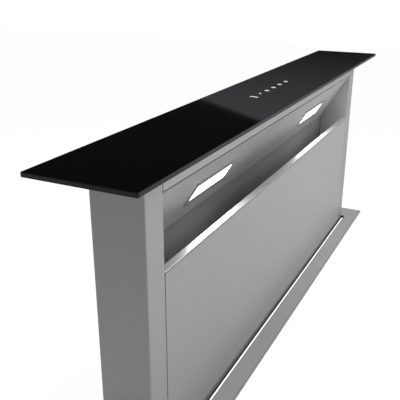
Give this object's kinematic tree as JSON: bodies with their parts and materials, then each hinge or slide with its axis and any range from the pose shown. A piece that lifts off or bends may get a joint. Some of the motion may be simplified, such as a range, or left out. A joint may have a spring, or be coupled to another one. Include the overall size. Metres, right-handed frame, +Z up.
{
  "type": "downdraft vent",
  "caption": "Worktop downdraft vent: glass-topped steel column with slanted lit intake rising from a flange, over a chassis with belt lift and side blower.",
  "frame": {"origin": "middle of the flange's underside, which rests on the worktop", "axes": "+X along the glass top, +Z up, and the intake faces -Y"},
  "size_m": [0.9, 0.3224, 1.017],
  "materials": {
    "black_glass": "polished",
    "brushed_steel": "brushed along the column",
    "liner_steel": "fine brushed",
    "flange_steel": "satin",
    "lamp_frame": "satin",
    "lamp_diffuser": "opal",
    "white_board": "matt",
    "green_board": "satin",
    "filter_aluminium": "satin mesh",
    "bright_metal": "zinc plated",
    "magnet_holder": "matt",
    "white_rubber": "matt",
    "black_rubber": "matt",
    "galvanised_sheet": "zinc coated",
    "black_plastic": "matt",
    "grey_plastic": "matt",
    "flap_plastic": "matt",
    "impeller_plastic": "satin",
    "pulley_aluminium": "machined",
    "motor_grey": "satin"
  },
  "bodies": {
    "chassis": {"worktop_flange": "flange_steel", "wiper_seals": "white_rubber", "chassis_front": "galvanised_sheet", "chassis_rear": "galvanised_sheet", "chassis_end_left": "galvanised_sheet", "chassis_end_right": "galvanised_sheet", "chassis_base": "galvanised_sheet", "blanking_plate": "galvanised_sheet", "fixing_brackets": "galvanised_sheet", "base_rails": "galvanised_sheet", "feet": "black_plastic", "guide_rails": "bright_metal", "idler_pins": "bright_metal", "toothed_belts": "black_rubber", "shaft_bearings": "black_plastic", "gear_motor": "motor_grey", "blower_box": "galvanised_sheet", "blower_lid": "galvanised_sheet", "lid_screws": "bright_metal", "inlet_ring": "galvanised_sheet", "scroll_housing": "black_plastic", "motor_mount": "galvanised_sheet", "blower_motor": "motor_grey", "outlet_collar": "black_plastic", "flap_pin": "bright_metal", "control_box": "grey_plastic", "cable_gland": "black_plastic"},
    "column": {"glass_top": "black_glass", "glass_carrier": "galvanised_sheet", "touch_board": "green_board", "touch_cover": "grey_plastic", "head_rail": "brushed_steel", "end_post_left": "brushed_steel", "end_post_right": "brushed_steel", "rear_panel": "brushed_steel", "intake_liner": "liner_steel", "lower_front": "brushed_steel", "column_foot": "galvanised_sheet", "lamp_bezel_left": "lamp_frame", "lamp_bezel_right": "lamp_frame", "lamp_lens_left": "lamp_diffuser", "lamp_lens_right": "lamp_diffuser", "lamp_boards": "white_board", "filter_left": "filter_aluminium", "filter_right": "filter_aluminium", "filter_handles": "bright_metal", "filter_ledges": "galvanised_sheet", "panel_pivots": "bright_metal", "panel_magnets": "magnet_holder", "guide_carriages": "black_plastic", "belt_clamps": "bright_metal"},
    "panel": {"front_panel": "brushed_steel"},
    "idler_left": {"idler_left": "pulley_aluminium"},
    "idler_right": {"idler_right": "pulley_aluminium"},
    "drive_shaft": {"cross_shaft": "bright_metal", "drive_pulley_left": "pulley_aluminium", "drive_pulley_right": "pulley_aluminium"},
    "impeller": {"impeller": "impeller_plastic"},
    "flap_front": {"flap_front": "flap_plastic"},
    "flap_rear": {"flap_rear": "flap_plastic"}
  },
  "joints": [
    {"name": "riser_lift", "type": "slide", "parent": "chassis", "child": "column", "axis": [0, 0, 1], "range_m": [-0.329, 0]},
    {"name": "front_panel_tilt", "type": "hinge", "parent": "column", "child": "panel", "pos_m": [0, -0.0268, 0.0072], "axis": [1, 0, 0], "range_deg": [0, 90]},
    {"name": "impeller_spin", "type": "hinge", "parent": "chassis", "child": "impeller", "pos_m": [0, -0.12, -0.52499], "axis": [0, -1, 0], "continuous": true},
    {"name": "flap_front_swing", "type": "hinge", "parent": "chassis", "child": "flap_front", "pos_m": [0.249, -0.1395, -0.432], "axis": [0, 0, 1], "range_deg": [0, 78]},
    {"name": "flap_rear_swing", "type": "hinge", "parent": "chassis", "child": "flap_rear", "pos_m": [0.249, -0.1395, -0.432], "axis": [0, 0, -1], "range_deg": [0, 78]},
    {"name": "idler_left_turn", "type": "hinge", "parent": "chassis", "child": "idler_left", "pos_m": [-0.4019, 0.0162, -0.026], "axis": [1, 0, 0], "continuous": true},
    {"name": "idler_right_turn", "type": "hinge", "parent": "chassis", "child": "idler_right", "pos_m": [0.4019, 0.0162, -0.026], "axis": [1, 0, 0], "continuous": true},
    {"name": "drive_shaft_turn", "type": "hinge", "parent": "chassis", "child": "drive_shaft", "pos_m": [0, 0.0162, -0.63], "axis": [1, 0, 0], "continuous": true}
  ],
  "couplings": [
    {"joint": "idler_left_turn", "follows": "riser_lift", "rad_per_m": -100},
    {"joint": "idler_right_turn", "follows": "riser_lift", "rad_per_m": -100},
    {"joint": "drive_shaft_turn", "follows": "riser_lift", "rad_per_m": -100}
  ]
}
